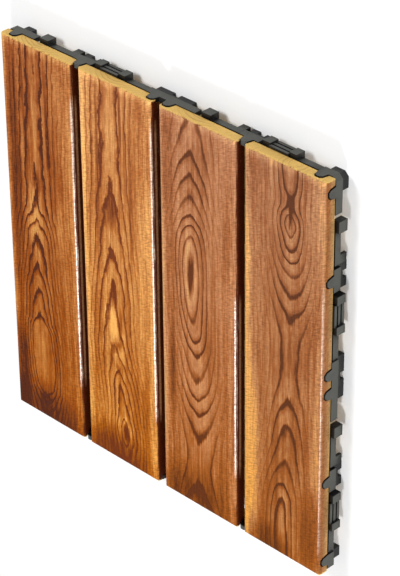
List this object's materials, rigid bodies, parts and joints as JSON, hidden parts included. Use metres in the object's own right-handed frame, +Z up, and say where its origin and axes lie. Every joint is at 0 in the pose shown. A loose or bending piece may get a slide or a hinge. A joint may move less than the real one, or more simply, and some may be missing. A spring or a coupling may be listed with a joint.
{
  "type": "wood deck tile",
  "caption": "Square interlocking outdoor deck tile: stained softwood slats with eased edges, screwed from below onto a black moulded plastic base grid that snaps to its neighbours.",
  "frame": {"origin": "middle of the square on the ground, under the feet", "axes": "+Z up to the walking face, +Y along the slats, +X across them"},
  "size_m": [0.2994, 0.2994, 0.022],
  "materials": {
    "base_plastic": "fine moulded texture, black polypropylene",
    "stained_wood": "stained and oiled softwood, flame grain",
    "screw_steel": "bright zinc plating"
  },
  "bodies": {
    "root": {"base_grid": "base_plastic", "slat_1": "stained_wood", "slat_2": "stained_wood", "slat_3": "stained_wood", "slat_4": "stained_wood", "screws_slat_1": "screw_steel", "screws_slat_2": "screw_steel", "screws_slat_3": "screw_steel", "screws_slat_4": "screw_steel"}
  },
  "joints": []
}
